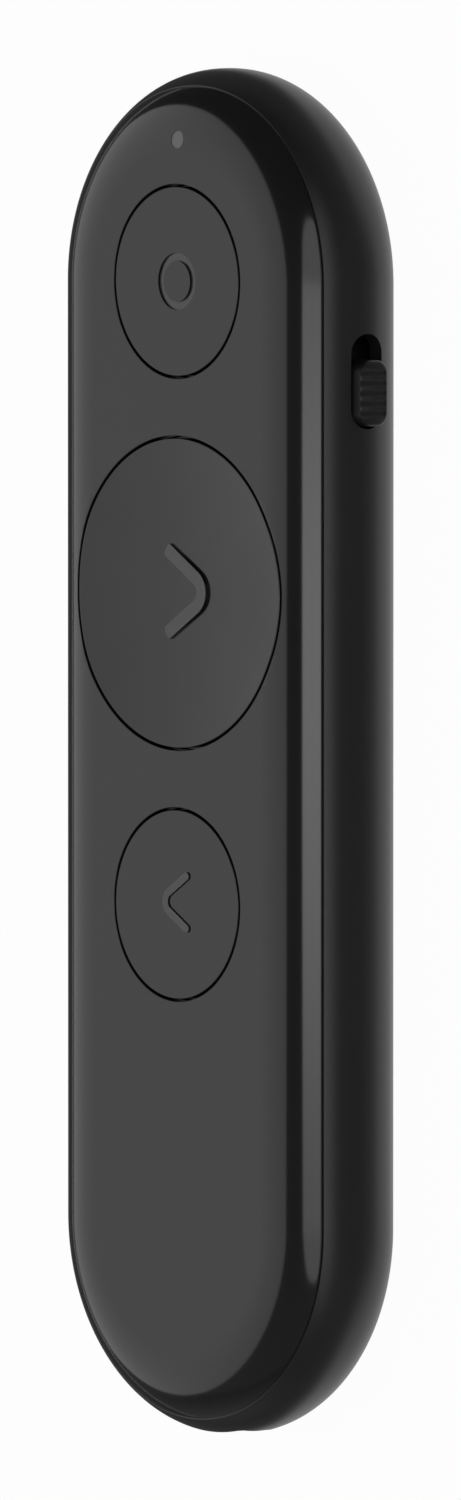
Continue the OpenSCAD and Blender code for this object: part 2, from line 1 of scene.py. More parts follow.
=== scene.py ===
# Wireless presentation clicker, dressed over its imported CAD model.
import bpy
import bmesh
import math
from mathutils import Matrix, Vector


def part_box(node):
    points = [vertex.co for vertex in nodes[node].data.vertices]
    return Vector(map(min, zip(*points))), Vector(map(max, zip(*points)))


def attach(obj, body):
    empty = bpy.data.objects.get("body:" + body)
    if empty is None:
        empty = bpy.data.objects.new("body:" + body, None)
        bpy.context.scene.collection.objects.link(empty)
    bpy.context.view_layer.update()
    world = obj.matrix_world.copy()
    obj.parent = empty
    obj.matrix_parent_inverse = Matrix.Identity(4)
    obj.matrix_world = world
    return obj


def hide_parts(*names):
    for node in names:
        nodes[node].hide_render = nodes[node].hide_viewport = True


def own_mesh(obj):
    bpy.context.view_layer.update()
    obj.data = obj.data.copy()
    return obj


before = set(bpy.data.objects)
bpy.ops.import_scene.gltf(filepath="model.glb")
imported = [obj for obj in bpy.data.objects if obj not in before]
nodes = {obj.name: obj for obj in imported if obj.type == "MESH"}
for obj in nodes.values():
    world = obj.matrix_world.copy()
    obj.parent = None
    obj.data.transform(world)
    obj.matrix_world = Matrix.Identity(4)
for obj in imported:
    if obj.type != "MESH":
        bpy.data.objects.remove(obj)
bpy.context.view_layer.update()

mm = 0.001     # the values below are in millimetres, apart from most of the studio's
slack = 0.01   # how near to a level something counts as lying in it
print("loaded", len(nodes), "CAD nodes")


def clearSelection():
    if bpy.context.mode != "OBJECT":
        bpy.ops.object.mode_set(mode="OBJECT")
    bpy.ops.object.select_all(action="DESELECT")


def pick(piece):
    clearSelection()
    piece.select_set(True)
    bpy.context.view_layer.objects.active = piece


def settle(piece):  # puts the place into the mesh and leaves the object at the origin
    pick(piece)
    bpy.ops.object.transform_apply(location=True, rotation=True, scale=True)


def openMesh(piece):  # edit mode, with the whole mesh selected
    pick(piece)
    bpy.ops.object.mode_set(mode="EDIT")
    bpy.ops.mesh.select_all(action="SELECT")


def closeMesh():
    bpy.ops.object.mode_set(mode="OBJECT")


def selectWhere(piece, test, kind="VERT"):  # selects by place, in edit mode
    mesh = bmesh.from_edit_mesh(piece.data)
    bpy.ops.mesh.select_mode(type=kind)
    bpy.ops.mesh.select_all(action="DESELECT")
    for part in {"VERT": mesh.verts, "EDGE": mesh.edges, "FACE": mesh.faces}[kind]:
        place = part.co if kind == "VERT" else sum((v.co for v in part.verts), Vector()) / len(part.verts)
        if test(place, part):
            part.select_set(True)
    mesh.select_flush_mode()
    bmesh.update_edit_mesh(piece.data)


def smooth(piece, degrees=35):  # smooth shading that leaves the large flat faces flat
    quiteFlat = 0.99999   # how upright the normal of a flat face is
    pick(piece)
    bpy.ops.object.shade_smooth_by_angle(angle=math.radians(degrees))
    openMesh(piece)
    selectWhere(piece, lambda place, part: abs(part.normal.z) > quiteFlat, "FACE")
    bpy.ops.mesh.mod_weighted_strength(set=True, face_strength="STRONG")
    closeMesh()
    change = piece.modifiers.new("weigh", "WEIGHTED_NORMAL")
    change.mode = "CORNER_ANGLE"
    change.use_face_influence = True
    change.keep_sharp = True
    bpy.ops.object.modifier_apply(modifier=change.name)


def tidyMesh(piece, gap=1e-6):  # closes seams and poles, and turns the faces outwards
    openMesh(piece)
    bpy.ops.mesh.remove_doubles(threshold=gap)
    bpy.ops.mesh.normals_make_consistent(inside=False)
    closeMesh()


def drawLine(name, points):  # a chain of edges, drawn point by point, in metres
    clearSelection()
    bpy.ops.mesh.primitive_plane_add(size=mm, location=(0, 0, 0))
    piece = bpy.context.object
    piece.name = name
    bpy.ops.object.mode_set(mode="EDIT")
    bpy.ops.mesh.select_mode(type="VERT")
    bpy.ops.mesh.select_all(action="SELECT")
    bpy.ops.mesh.merge(type="CENTER")
    bpy.ops.transform.translate(value=points[0])
    for start, end in zip(points, points[1:]):
        step = Vector(end) - Vector(start)
        bpy.ops.mesh.extrude_region_move(TRANSFORM_OT_translate={"value": step})
    closeMesh()
    return piece


def spinRound(name, profile, place, steps):  # full turn of a half section, set at a place along the body
    piece = drawLine(name, [(x * mm, 0, z * mm) for x, z in profile])
    openMesh(piece)
    bpy.ops.mesh.spin(steps=steps, angle=2 * math.pi, center=(0, 0, 0), axis=(0, 0, 1))
    bpy.ops.mesh.select_all(action="SELECT")
    bpy.ops.transform.translate(value=(0, place * mm, 0))
    closeMesh()
    tidyMesh(piece)
    return piece


def sweepStadium(name, profile, length, endSteps, sideSteps):
    # spins a half section round one end, pushes it down the side, and goes on round
    half = length / 2
    piece = drawLine(name, [(x * mm, half * mm, z * mm) for x, z in profile])
    openMesh(piece)
    for side in (1, -1):
        bpy.ops.mesh.spin(steps=endSteps, angle=-math.pi, center=(0, side * half * mm, 0), axis=(0, 0, 1))
        for i in range(sideSteps):
            step = (0, -side * length / sideSteps * mm, 0)
            bpy.ops.mesh.extrude_region_move(TRANSFORM_OT_translate={"value": step})
    closeMesh()
    tidyMesh(piece)
    return piece


def turnPiece(piece, degrees, axis, shift):  # turns the mesh about the origin, then moves it
    openMesh(piece)
    bpy.ops.transform.rotate(value=-math.radians(degrees), orient_axis=axis, center_override=(0, 0, 0))
    bpy.ops.transform.translate(value=[s * mm for s in shift])
    closeMesh()
    return piece


def cut(piece, cutter, mode="DIFFERENCE"):
    pick(piece)
    change = piece.modifiers.new("cut", "BOOLEAN")
    change.object = cutter
    change.operation = mode
    change.solver = "EXACT"
    bpy.ops.object.modifier_apply(modifier=change.name)
    bpy.data.objects.remove(cutter, do_unlink=True)


def rodCutter(place, level, radius, height):  # upright, with its middle at the level
    clearSelection()
    bpy.ops.mesh.primitive_cylinder_add(vertices=48, radius=radius * mm, depth=height * mm,
                                        location=(0, place * mm, level * mm))
    return bpy.context.object


def stadiumCutter(length, width, height):  # upright, long along Y, at the origin
    corners = [(0, -height / 2), (width / 2, -height / 2), (width / 2, height / 2), (0, height / 2)]
    return sweepStadium("cutter", corners, length - width, endSteps=32, sideSteps=1)


def roundPoints(x, z, radius, start, end, steps):  # points of an arc, its angles measured from upright
    return [(x + radius * math.sin(a), z + radius * math.cos(a))
            for a in [start + (end - start) * i / steps for i in range(steps + 1)]]


# Patterns in the finishes: scales are per metre, tones and gloss are shares of the finish's own.
pattern = {
    "cloudScale": 60, "cloudBand": (0.3, 0.7), "cloudTones": (0.92, 1.08), "cloudGloss": 0.04,
    "pitScale": 9000, "pitDepth": 0.02,
    "scratchScale": 2500, "scratchTones": (0.85, 1), "scratchGloss": 0.2,
}


def newFinish(name):
    finish = bpy.data.materials.new(name)
    finish.use_nodes = True
    return finish, finish.node_tree, finish.node_tree.nodes["Principled BSDF"]


def addNoise(tree, source, scale, detail):
    noise = tree.nodes.new("ShaderNodeTexNoise")
    noise.inputs["Scale"].default_value = scale
    noise.inputs["Detail"].default_value = detail
    tree.links.new(source, noise.inputs["Vector"])
    return noise.outputs["Fac"]


def followNoise(tree, noise, colour, tones, band, roughness, spread):  # colour and gloss vary with the noise
    shader = tree.nodes["Principled BSDF"]
    tone = tree.nodes.new("ShaderNodeValToRGB")
    for stop, place, share in zip(tone.color_ramp.elements, band, tones):
        stop.position = place
        stop.color = (*[c * share for c in colour], 1)
    tree.links.new(noise, tone.inputs["Fac"])
    tree.links.new(tone.outputs["Color"], shader.inputs["Base Color"])
    sheen = tree.nodes.new("ShaderNodeMapRange")
    sheen.inputs["To Min"].default_value = roughness * (1 - spread)
    sheen.inputs["To Max"].default_value = roughness * (1 + spread)
    tree.links.new(noise, sheen.inputs["Value"])
    tree.links.new(sheen.outputs["Result"], shader.inputs["Roughness"])


def plastic(name, colour, roughness, grain, specular=0.5):
    # moulded plastic: fine spark-eroded grain, faint cloudiness in colour and gloss
    finish, tree, shader = newFinish(name)
    shader.inputs["Specular IOR Level"].default_value = specular
    place = tree.nodes.new("ShaderNodeTexCoord").outputs["Object"]
    cloud = addNoise(tree, place, pattern["cloudScale"], detail=3)
    followNoise(tree, cloud, colour, pattern["cloudTones"], pattern["cloudBand"],
                roughness, pattern["cloudGloss"])
    if grain > 0:
        bump = tree.nodes.new("ShaderNodeBump")
        bump.inputs["Strength"].default_value = grain
        bump.inputs["Distance"].default_value = pattern["pitDepth"] * mm
        tree.links.new(addNoise(tree, place, pattern["pitScale"], detail=2), bump.inputs["Height"])
        tree.links.new(bump.outputs["Normal"], shader.inputs["Normal"])
    return finish


def metal(name, colour, roughness, brushed=(1, 1, 1)):
    # plated or turned metal: fine scratches, drawn out where the scale of an axis is lower
    finish, tree, shader = newFinish(name)
    shader.inputs["Metallic"].default_value = 1
    place = tree.nodes.new("ShaderNodeTexCoord").outputs["Object"]
    stretch = tree.nodes.new("ShaderNodeMapping")
    stretch.inputs["Scale"].default_value = brushed
    tree.links.new(place, stretch.inputs["Vector"])
    scratch = addNoise(tree, stretch.outputs["Vector"], pattern["scratchScale"], detail=4)
    followNoise(tree, scratch, colour, pattern["scratchTones"], (0, 1), roughness, pattern["scratchGloss"])
    return finish


finishes = {
    "cover": plastic("satin_cover", (0.0075, 0.0075, 0.0078), 0.115, 0.02),
    # lighter copy of the key plastic, a painted highlight: only the tops of the raised marks and the ring's
    # floor get it, while their walls keep the key's own dark colour
    "mark": plastic("painted_highlight_tops", (0.051, 0.051, 0.052), 0.14, 0.02),
    "key": plastic("satin_key", (0.0075, 0.0075, 0.0078), 0.14, 0.02),
    "housing": plastic("matte_housing", (0.008, 0.008, 0.0084), 0.39, 0.1, 0.55),
    "knob": plastic("matte_knob", (0.005, 0.005, 0.0053), 0.42, 0.2, 0.4),
    "light": plastic("light_pipe", (0.132, 0.132, 0.134), 0.2, 0.0),
    "window": plastic("dark_window", (0.03, 0.004, 0.004), 0.08, 0.0),
    "resin": plastic("chip_resin", (0.015, 0.015, 0.017), 0.45, 0.3),
    "board": plastic("solder_mask", (0.006, 0.07, 0.03), 0.3, 0.1),
    "nylon": plastic("socket_nylon", (0.62, 0.58, 0.48), 0.45, 0.1),
    "tape": plastic("foam_tape", (0.7, 0.7, 0.68), 0.8, 0.6),
    "wire": plastic("wire_skin", (0.25, 0.02, 0.02), 0.4, 0.1),
    "foam": plastic("foam_pad", (0.03, 0.03, 0.03), 0.9, 0.8),
    "lens": plastic("clear_lens", (0.5, 0.55, 0.6), 0.05, 0.0),
    "lamp": plastic("lamp_resin", (0.7, 0.68, 0.5), 0.3, 0.0),
    "plated": metal("plated_steel", (0.55, 0.55, 0.56), 0.28, (1, 0.1, 1)),
    "pouch": metal("pouch_foil", (0.6, 0.61, 0.63), 0.35),
    "brass": metal("turned_brass", (0.62, 0.42, 0.16), 0.3, (1, 6, 1)),
}


def dress(piece, finish):
    piece.data.materials.clear()
    piece.data.materials.append(finishes[finish])


def dressWhere(piece, finish, test):  # gives another finish to the faces that pass the test
    piece.data.materials.append(finishes[finish])
    openMesh(piece)
    selectWhere(piece, test, "FACE")
    piece.active_material_index = len(piece.data.materials) - 1
    bpy.ops.object.material_slot_assign()
    closeMesh()


# Section of the body, shared by both mouldings.
body = {
    "halfWidth": 18.75,   # widest line
    "height": 13.0,
    "spine": 82.5,        # straight part, between the two end arcs
    "crown": 11.2,        # half of the flat front
    "belly": 6.8,         # height of the widest line
    "backFlat": 8.2,      # half of the flat back
    "frontPower": 2.26,   # fullness of the shoulders: 2 is an ellipse, more is squarer
    "backPower": 2.24,
    "wall": 1.5,
    "seam": 10.91,
    "seamGap": 0.04,
    "endSteps": 96,       # faces round each end arc
    "sideSteps": 66,      # faces along each straight side
}
bodyEnd = body["spine"] / 2 + body["halfWidth"]


def shoulder(flat, edge, power, inset, fromShare, toShare, steps):
    # part of a superellipse from the end of a flat, at the level edge, to the widest line
    wide = body["halfWidth"] - flat - inset
    tall = abs(edge - body["belly"]) - inset
    way = math.copysign(1, edge - body["belly"])
    points = []
    for i in range(steps + 1):
        angle = math.pi / 2 * (fromShare + (toShare - fromShare) * i / steps)
        points.append((flat + wide * math.sin(angle) ** (2 / power),
                       body["belly"] + way * tall * max(math.cos(angle), 0) ** (2 / power)))
    return points


def frontArc(inset, fromShare, toShare, steps):
    return shoulder(body["crown"], body["height"], body["frontPower"], inset, fromShare, toShare, steps)


def backArc(inset, steps):
    return shoulder(body["backFlat"], 0, body["backPower"], inset, 0, 1, steps)


def frontShare(height, inset):  # how far round the front arc a height lies
    tall = body["height"] - body["belly"] - inset
    return math.acos(((height - body["belly"]) / tall) ** (body["frontPower"] / 2)) / (math.pi / 2)


def crownDrop(across):  # how far the front lies below its flat, at a distance from the middle
    share = max(0, abs(across) - body["crown"]) / (body["halfWidth"] - body["crown"])
    power = body["frontPower"]
    return (body["height"] - body["belly"]) * (1 - (1 - share ** power) ** (1 / power))


cover = {
    "lip": (14.9, 15.7, 9.62),   # inner side, outer side and foot of the locating lip
    "edge": 0.06,                # rounding of the visible lower edge
    "edgeTilt": 46,              # lean of the outside where it meets the seam, in degrees
    "support": 0.1,              # the outer arc ends this far above the edge's rounding
    "innerEnd": 0.2,             # the inner arc ends this far above the seam
    "flatRing": 5.6,             # extra line on the flats
    "arcSteps": 40, "innerSteps": 16, "edgeSteps": 8,
    "keyGap": 0.25,
    "rimRound": 0.07, "rimSteps": 4,   # rounding of the key openings
    "openingEnds": (8, 14),      # foot and top of the cutters of the openings
}
keys = {
    "pointer": (41.4, 8.27),     # place along the body, radius
    "next": (14.1, 13.55),
    "back": (-13.2, 8.27),
}
keySteps = 192                   # faces round each key and its opening
dot = {"place": 53.8, "radius": 0.775, "gap": 0.01, "cutLevel": 12.5, "cutHeight": 4}


def followCrown(piece, rim, lowest=11.3):
    # lowers the top of a round piece, so that its rim lies in the crowned front
    for v in piece.data.vertices:
        x, y, z = (c / mm for c in v.co)
        if z > lowest:
            middle = min(keys.values(), key=lambda key: abs(key[0] - y))[0]
            reach = math.hypot(x, y - middle)
            v.co.z -= crownDrop(rim * x / max(reach, slack)) * min(1, reach / rim) ** 2 * mm


def keyOpening(place, rim):  # cutter with a flared top
    soft, level = cover["rimRound"], body["height"]
    foot, top = cover["openingEnds"]
    flare = roundPoints(rim + soft, level - soft, soft, -math.pi / 2, 0, cover["rimSteps"])
    profile = [(0, foot), (rim, foot)] + flare + [(rim + soft, top), (0, top)]
    cutter = spinRound("opening", profile, place, keySteps)
    followCrown(cutter, rim)
    return cutter


def makeCover():
    seam, top, wall = body["seam"], body["height"], body["wall"]
    soft, tilt, flat = cover["edge"], math.radians(cover["edgeTilt"]), cover["flatRing"]
    inside, outside, foot = cover["lip"]
    seamReach = frontArc(0, frontShare(seam, 0), 1, 1)[0][0]
    edge = roundPoints(seamReach - soft * math.tan((math.pi - tilt) / 2), seam + soft, soft, tilt, math.pi,
                       cover["edgeSteps"])
    outer = frontArc(0, 0, frontShare(edge[0][1] + cover["support"], 0), cover["arcSteps"])
    inner = frontArc(wall, 0, frontShare(seam + cover["innerEnd"], wall), cover["innerSteps"])
    profile = [(0, top), (flat, top)] + outer + edge
    profile += [(outside, seam), (outside, foot), (inside, foot)]
    profile += inner[::-1] + [(flat, inner[0][1]), (0, inner[0][1])]
    piece = sweepStadium("front_shell", profile, body["spine"], body["endSteps"], body["sideSteps"])
    for place, radius in keys.values():
        cut(piece, keyOpening(place, radius + cover["keyGap"]))
    cut(piece, rodCutter(dot["place"], dot["cutLevel"], dot["radius"] + dot["gap"], dot["cutHeight"]))
    smooth(piece)
    dress(piece, "cover")
    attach(piece, "housing")
    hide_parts("front_cover")


makeCover()
print("front cover swept and opened")


housing = {
    "step": 16.6,        # outer side of the inner step that meets the cover
    "lipRoom": 15.8,     # inner side of that step, round the cover's lip
    "innerTop": 10.22,   # where the inner arc ends
    "flatRing": 4,       # extra line on the flats
    "arcSteps": 36, "upperSteps": 18, "innerSteps": 18, "innerUpperSteps": 8,
    "portWidth": 9.4, "portHeight": 3.5, "portLevel": 7.0,
    "slotPlace": 32.95, "slotLength": 8.3, "slotWidth": 3.38, "slotLevel": 7.1,
    "windowRadius": 1.22, "windowLevel": 5.05,
    "endCut": 10, "sideCut": 6,   # lengths of the cutters through the ends and the side
}


def makeHousing():
    seam, wall, flat = body["seam"], body["wall"], housing["flatRing"]
    step, lipRoom, innerTop = housing["step"], housing["lipRoom"], housing["innerTop"]
    rim = seam - body["seamGap"]
    upper = frontArc(0, 1, frontShare(rim, 0), housing["upperSteps"])
    innerUpper = frontArc(wall, 1, frontShare(innerTop, wall), housing["innerUpperSteps"])
    inner = backArc(wall, housing["innerSteps"]) + innerUpper[1:]
    profile = [(0, 0), (flat, 0)] + backArc(0, housing["arcSteps"]) + upper[1:]
    profile += [(step, rim), (step, seam), (lipRoom, seam), (lipRoom, innerTop)]
    profile += inner[::-1] + [(flat, wall), (0, wall)]
    piece = sweepStadium("rear_shell", profile, body["spine"], body["endSteps"], body["sideSteps"])
    port = stadiumCutter(housing["portWidth"], housing["portHeight"], housing["endCut"])
    turnPiece(port, 90, "Z", (0, 0, 0))
    cut(piece, turnPiece(port, 90, "X", (0, -bodyEnd, housing["portLevel"])))
    slot = stadiumCutter(housing["slotLength"], housing["slotWidth"], housing["sideCut"])
    cut(piece, turnPiece(slot, 90, "Y", (body["halfWidth"], housing["slotPlace"], housing["slotLevel"])))
    hole = rodCutter(0, 0, housing["windowRadius"], housing["endCut"])
    cut(piece, turnPiece(hole, 90, "X", (0, bodyEnd, housing["windowLevel"])))
    smooth(piece)
    dress(piece, "housing")
    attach(piece, "housing")
    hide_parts("rear_housing")


makeHousing()
print("rear housing swept and opened")


keyShape = {
    "flange": 0.75, "flangeTop": 10.95, "flangeFoot": 10.35,
    "skirt": 1,                 # wall below the face, measured from the key's side
    "under": 11.1,              # underside of the face
    "post": (2, 10.75),         # radius and foot of the middle post
    "round": 0.07, "rimSteps": 4,   # rounding of the top edge
    "dishDepth": 0.98, "dishDrop": 0.02,
    "dishSteps": 30, "dishSupport": 0.08,   # the last line of the dish lies this far inside its edge
    "ring": (1.8, 2.5, 0.19),   # inner radius, outer radius and depth of the engraved ring
    "ringRound": 0.02, "ringNear": 0.006,   # rounding of its corners, and how far in the middle point lies
    "levelEnough": 0.98,        # how upright the normal of the ring's floor is
}


def makeKey(name, face, follow=False):  # face is the half profile of its top, from the middle to the rim
    place, radius = keys[name]
    flange, skirt = radius + keyShape["flange"], radius - keyShape["skirt"]
    flangeTop, foot, under = keyShape["flangeTop"], keyShape["flangeFoot"], keyShape["under"]
    post, postFoot = keyShape["post"]
    profile = face + [(radius, flangeTop), (flange, flangeTop), (flange, foot), (skirt, foot),
                      (skirt, under), (post, under), (post, postFoot), (0, postFoot)]
    piece = spinRound(name + "_cap", profile, place, keySteps)
    if follow:
        followCrown(piece, radius)
    smooth(piece)
    dress(piece, "key")
    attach(piece, name + "_key")
    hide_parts(name + "_key")
    return piece


def roundedRim(radius, level):
    soft = keyShape["round"]
    return roundPoints(radius - soft, level - soft, soft, 0, math.pi / 2, keyShape["rimSteps"])


def flatRings(*reaches):  # lines on a flat face, which keep its shading even
    return [(reach, body["height"]) for reach in reaches]


def groove(inner, outer, depth):  # profile of an engraved ring
    level, soft, near = body["height"], keyShape["ringRound"], keyShape["ringNear"]
    floor = level - depth
    return [(inner - soft, level), (inner - near, level - near), (inner, level - soft),
            (inner, floor + soft), (inner + near, floor + near), (inner + soft, floor),
            (outer - soft, floor), (outer - near, floor + near), (outer, floor + soft),
            (outer, level - soft), (outer + near, level - near), (outer + soft, level)]


def makePointerKey():
    face = flatRings(0, 1, 1.7) + groove(*keyShape["ring"]) + flatRings(2.6, 5, 7.8)
    piece = makeKey("pointer", face + roundedRim(keys["pointer"][1], body["height"]))
    ringFloor = body["height"] - keyShape["ring"][2]
    # painted highlight: the ring's floor gets the lighter copy of the key plastic
    dressWhere(piece, "mark", lambda place, part: abs(place.z - ringFloor * mm) < keyShape["ringRound"] * mm
               and part.normal.z > keyShape["levelEnough"])


def makeNextKey():  # dished as part of a ball, and its rim follows the crowned front
    radius, deep = keys["next"][1], keyShape["dishDepth"]
    ball = (radius ** 2 + deep ** 2) / (2 * deep)
    floor = body["height"] - keyShape["dishDrop"] - deep
    edge, steps = radius - keyShape["round"], keyShape["dishSteps"]
    reaches = [edge * i / steps for i in range(steps)] + [edge - keyShape["dishSupport"], edge]
    dish = [(r, floor + ball - math.sqrt(ball ** 2 - r * r)) for r in reaches]
    makeKey("next", dish + roundedRim(radius, dish[-1][1])[1:], follow=True)


makePointerKey()
makeKey("back", flatRings(0, 4, 7.8) + roundedRim(keys["back"][1], body["height"]))
makeNextKey()
print("keys spun")


# Raised marks on the keys. Tip and back are places across the body, middle is a place along it.
marks = {
    "forward": {"key": "next", "tip": 3.11, "back": -2.39, "halfHeight": 4.17, "middle": 14.2,
                "stroke": 1.25, "bend": 2.1, "foot": 11.85, "top": 12.34, "endRound": 0.35, "edge": 0.04},
    "backward": {"key": "back", "tip": -1.81, "back": 1.58, "halfHeight": 2.61, "middle": -12.96,
                 "stroke": 0.75, "bend": 1.35, "foot": 12.9, "top": 13.14, "endRound": 1, "edge": 0.03},
}
markSteps = {"nose": 7, "end": 8}   # edges on half of the nose, and round the end of an arm


def markOutline(mark):  # an arrow head with a rounded nose, drawn as one closed outline
    sign = 1 if mark["tip"] > mark["back"] else -1
    high, wide, bend = mark["halfHeight"], mark["stroke"], mark["bend"]
    noseX = abs(mark["tip"] - mark["back"]) - bend
    arm = math.radians(35)
    for i in range(20):  # closes in on the slope at which the arm leaves the nose and meets its end
        endX, endY = wide / 2 * math.sin(arm), high - wide / 2 * math.cos(arm)
        reach = math.hypot(endX - noseX, endY)
        arm = math.pi - math.asin((bend - wide / 2) / reach) - math.atan2(endY, endX - noseX)
    normal = Vector((math.sin(arm), math.cos(arm)))
    along = Vector((-math.cos(arm), math.sin(arm)))
    steps = markSteps["nose"]
    nose = [(math.pi / 2 - arm) * (i / steps - 1) for i in range(2 * steps + 1)]
    outside = [(noseX + bend * math.cos(a), bend * math.sin(a)) for a in nose]
    inside = [(noseX + (bend - wide) * math.cos(a), (bend - wide) * math.sin(a)) for a in nose[::-1]]
    armEnd = []
    for i in range(markSteps["end"] + 1):
        a = math.pi * i / markSteps["end"]
        side = Vector((endX, endY)) + normal * (wide / 2 * math.cos(a))
        armEnd.append(tuple(side + along * (wide / 2 * mark["endRound"] * math.sin(a))))
    points = outside + armEnd + inside + [(x, -y) for x, y in armEnd[::-1]]
    return [(mark["back"] + sign * x, mark["middle"] + y) for x, y in points]


def makeMark(name, mark):
    foot, tall = mark["foot"] * mm, (mark["top"] - mark["foot"]) * mm
    piece = drawLine(name + "_mark", [(x * mm, y * mm, foot) for x, y in markOutline(mark)])
    openMesh(piece)
    bpy.ops.mesh.edge_face_add()
    bpy.ops.mesh.select_all(action="SELECT")
    bpy.ops.mesh.extrude_region_move(TRANSFORM_OT_translate={"value": (0, 0, tall)})
    bpy.ops.mesh.bevel(offset=mark["edge"] * mm, segments=3, affect="EDGES")
    closeMesh()
    tidyMesh(piece, 1e-7)
    smooth(piece, 40)
    dress(piece, "key")
    # painted highlight: the mark's top faces get the lighter copy of the key plastic, and its walls stay dark
    dressWhere(piece, "mark", lambda place, part: place.z > (mark["top"] - slack) * mm)
    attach(piece, mark["key"] + "_key")


for name, mark in marks.items():
    makeMark(name, mark)
print("marks raised")


knob = {
    "length": 5.8, "width": 3.15, "place": 31.95, "level": 7.07,
    "base": 15.6, "face": 19.7,      # from the middle of the body
    "corner": 1.25, "bevel": 0.3,
    "grooves": 5, "pitch": 0.88, "grooveRadius": 0.55,
    "grooveDepth": (0.215, 0.065),   # at the open front end, and where it stops
    "grooveStop": 0.45,              # from the rear side
    "cutterLength": 6,
    "plate": (0.7, 11.0, 4.3),       # thickness, length and width of the plate behind the slot
    "plateBevel": 0.1,
}


def knobBlock(name, thick, long, wide):  # stands on the knob's inner face
    clearSelection()
    place = ((knob["base"] + thick / 2) * mm, knob["place"] * mm, knob["level"] * mm)
    bpy.ops.mesh.primitive_cube_add(size=mm, location=place, scale=(thick, long, wide))
    piece = bpy.context.object
    piece.name = name
    settle(piece)
    return piece


def grooveCutter(place):  # leans, so that the groove grows shallower to the rear
    front, rear = knob["grooveDepth"]
    run = knob["width"] - knob["grooveStop"]
    lean = math.degrees(math.atan((front - rear) / run))
    cutter = rodCutter(0, knob["cutterLength"] / 2, knob["grooveRadius"], knob["cutterLength"])
    settle(cutter)
    stop = knob["level"] - knob["width"] / 2 + knob["grooveStop"]
    return turnPiece(cutter, -lean, "Y", (knob["face"] + knob["grooveRadius"] - rear, place, stop))


def makeKnob():
    outer = (knob["face"] - slack) * mm
    piece = knobBlock("slide_knob", knob["face"] - knob["base"], knob["length"], knob["width"])
    openMesh(piece)
    selectWhere(piece, lambda place, part: abs(part.verts[0].co.x - part.verts[1].co.x) > mm, "EDGE")
    bpy.ops.mesh.bevel(offset=knob["corner"] * mm, segments=10, affect="EDGES")
    selectWhere(piece, lambda place, part: min(v.co.x for v in part.verts) > outer, "EDGE")
    bpy.ops.mesh.bevel(offset=knob["bevel"] * mm, segments=4, affect="EDGES")
    closeMesh()
    for i in range(knob["grooves"]):
        cut(piece, grooveCutter(knob["place"] + (i - (knob["grooves"] - 1) / 2) * knob["pitch"]))
    plate = knobBlock("plate", *knob["plate"])
    openMesh(plate)
    bpy.ops.mesh.bevel(offset=knob["plateBevel"] * mm, segments=2, affect="EDGES")
    closeMesh()
    cut(piece, plate, "UNION")
    smooth(piece, 40)
    dress(piece, "knob")
    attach(piece, "power_slide")
    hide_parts("power_knob")


makeKnob()
print("power knob ribbed")


dome = {
    "thick": 0.06, "travel": 0.4,   # sheet, and how far the plunger presses
    "rings": 8, "steps": 64,        # faces from the middle to the foot, and round
}


def makeDome(name):  # contact dome: a thin cap of a ball, which the plunger presses nearly flat
    low, high = [[c / mm for c in corner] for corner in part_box(name + "_dome")]
    radius, tall = (high[0] - low[0]) / 2, high[2] - low[2]
    ball = (radius ** 2 + tall ** 2) / (2 * tall)
    inner, centre = ball - dome["thick"], high[2] - ball
    outside = roundPoints(0, centre, ball, 0, math.asin(radius / ball), dome["rings"])
    inside = roundPoints(0, centre, inner, 0, math.acos((ball - tall) / inner), dome["rings"])
    piece = spinRound(name + "_snap", outside + inside[::-1], (low[1] + high[1]) / 2, dome["steps"])
    smooth(piece)
    dress(piece, "plated")
    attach(piece, "housing")
    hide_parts(name + "_dome")
    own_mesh(piece)


for name in keys:
    makeDome(name)
print("domes spun")


# CAD nodes that keep their shape, by finish.
kept = {
    "light": ["status_light_pipe"],
    "window": ["laser_window"],
    "lamp": ["status_led"],
    "board": ["main_board", "battery_board", "laser_board"],
    "resin": ["pointer_plunger", "next_plunger", "back_plunger", "radio_chip", "board_chips",
              "pointer_switch", "next_switch", "back_switch", "usb_tongue"],
    "plated": ["board_screws", "radio_shield", "usb_shell", "power_switch_body"],
    "nylon": ["power_lever", "battery_plug", "battery_socket"],
    "pouch": ["battery_cell"],
    "tape": ["battery_tape"],
    "wire": ["battery_leads", "laser_leads"],
    "brass": ["laser_barrel"],
    "lens": ["laser_lens"],
    "foam": ["laser_pad"],
}
for finish, names in kept.items():
    for node in names:
        dress(nodes[node], finish)
print("CAD nodes dressed")


# Lengths are in metres, but the card's gaps, level, reach, shift and flareEnd are in millimetres.
studio = {
    "distance": 0.5,      # of the lamps from the middle of the floor
    "left": {"angle": -51.25, "radius": 0.358, "centre": (0.008, 0), "stretch": 1.27,
             "cutLow": -0.328, "cutHigh": 0.5, "strength": 1.04, "fade": 0.09, "hot": 0},
    "right": {"angle": 25.0, "radius": 0.272, "centre": (0.108, 0.011), "stretch": 0.945,
              "cutLow": -0.5, "cutHigh": 0.16, "strength": 1.45, "fade": 0, "hot": 1.85},
    "hotPlace": -0.014, "hotReach": 0.075,   # middle and half width of the hot band across a lamp
    "fadeReach": 0.45,                       # distance from a lamp's origin at which it has faded
    "rim": {"angle": 53, "width": 0.06, "length": 0.8, "strength": 2.2},
    "fill": {"width": 1.4, "height": 0.4, "turn": -20, "distance": 0.6, "strength": 0.36, "fade": 0.63},
    "card": {"gap": 6.7, "endGap": 5.5, "level": 0.1, "reach": 400, "shift": -1.5, "flare": 0.4,
             "flareEnd": 200, "fadeFrom": (-0.05, 0.03), "glow": (0.07, 0.18)},
    "drape": {"radius": 2.5, "foot": -0.01, "fadeFrom": (-1.4, 1.4), "glow": (0.2, 0.06)},
    "cloth": 0.03,                           # colour of the card and the drape
    "lampBack": 0.05,
    "floor": {"size": 6.0, "drop": 0.00005, "colour": 0.8, "white": 0.97},
}


def bareFinish(name):  # node tree with an output only
    finish, tree, shader = newFinish(name)
    tree.nodes.remove(shader)
    return finish, tree, tree.nodes["Material Output"]


